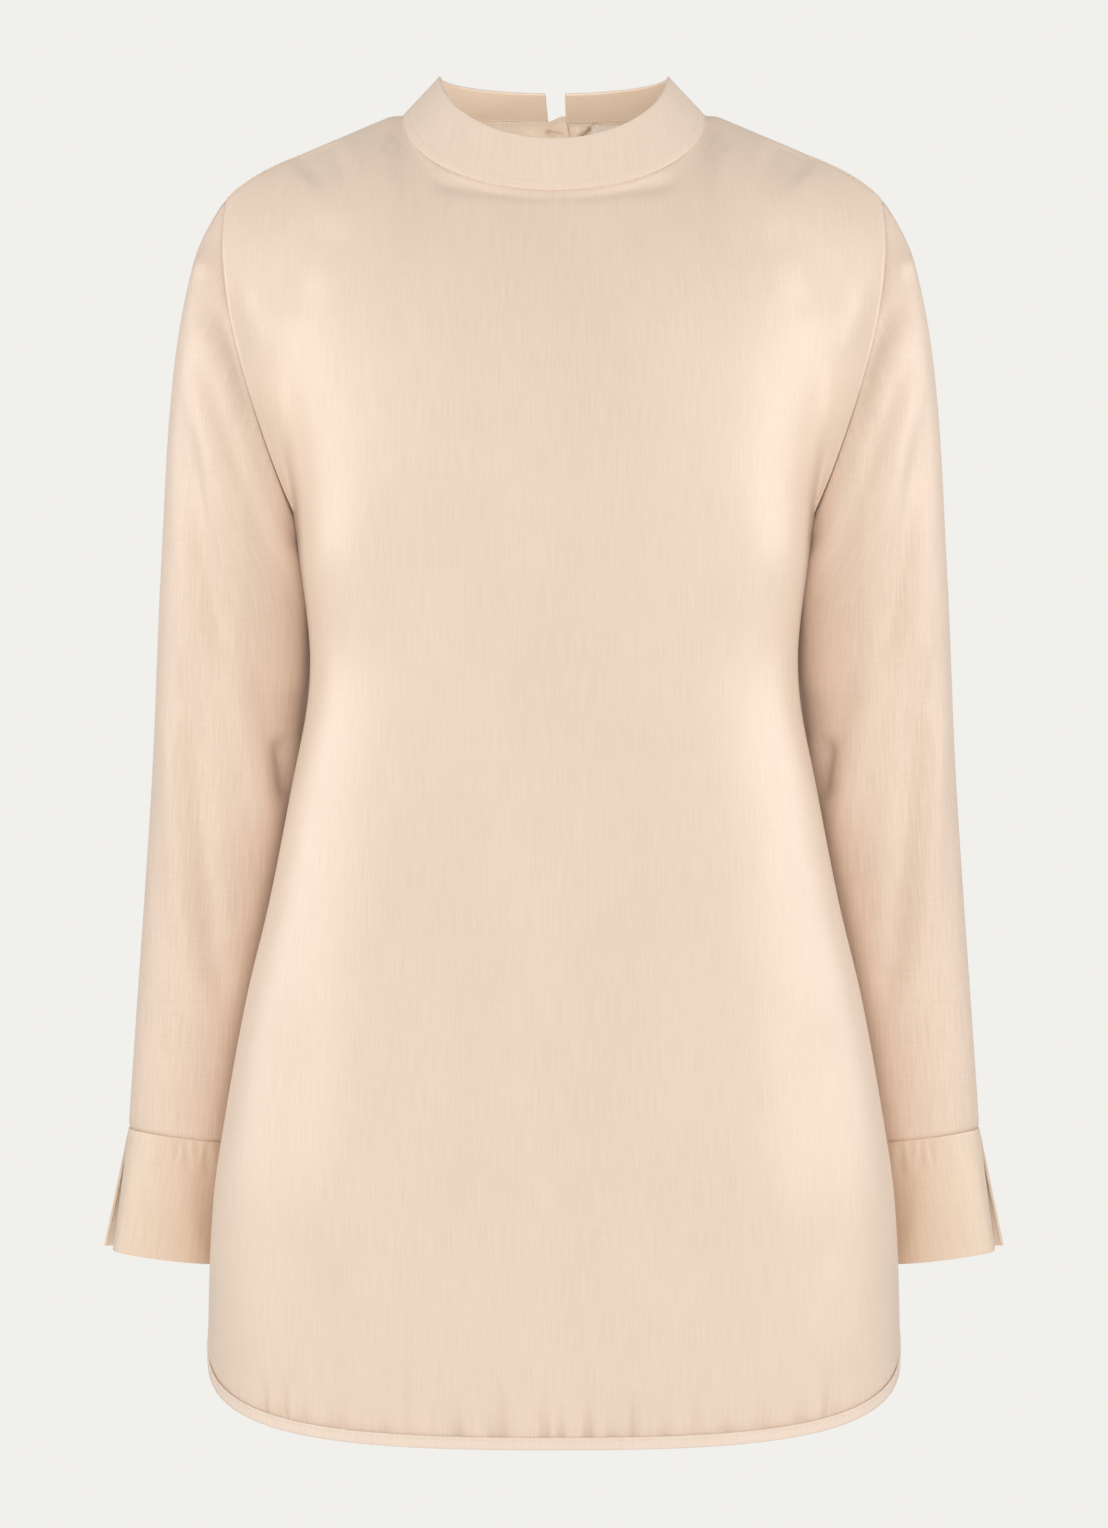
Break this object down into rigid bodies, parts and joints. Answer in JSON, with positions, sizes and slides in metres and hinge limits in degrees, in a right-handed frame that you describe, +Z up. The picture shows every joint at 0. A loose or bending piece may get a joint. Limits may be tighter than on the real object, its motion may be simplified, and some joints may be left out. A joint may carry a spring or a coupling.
{
  "type": "tunic top",
  "caption": "Long-sleeved satin-weave tunic top, hollow as worn, with a stand collar open at the centre back, flared split cuffs and a banded shirt-tail hem.",
  "frame": {"origin": "middle of the neck, level with the points where the collar meets the shoulder seams, where a wearer's neck holds the garment", "axes": "+Z up towards the collar; the front faces -Y; the wearer's left side is at +X"},
  "size_m": [0.5298, 0.2647, 0.7875],
  "materials": {
    "satin_cloth": "satin weave with a soft sheen",
    "collar_cloth": "satin weave over a firm interlining",
    "sleeve_cloth": "satin weave with a soft sheen",
    "cuff_cloth": "satin weave over a light interlining",
    "hem_cloth": "satin weave, edge stitched",
    "label_cloth": "plain woven tape, blank"
  },
  "bodies": {
    "root": {"front_panel": "satin_cloth", "back_panel": "satin_cloth", "collar": "collar_cloth", "sleeve_right": "sleeve_cloth", "sleeve_left": "sleeve_cloth", "cuff_right": "cuff_cloth", "cuff_left": "cuff_cloth", "hem_band_front": "hem_cloth", "hem_band_back": "hem_cloth", "label": "label_cloth"}
  },
  "joints": []
}
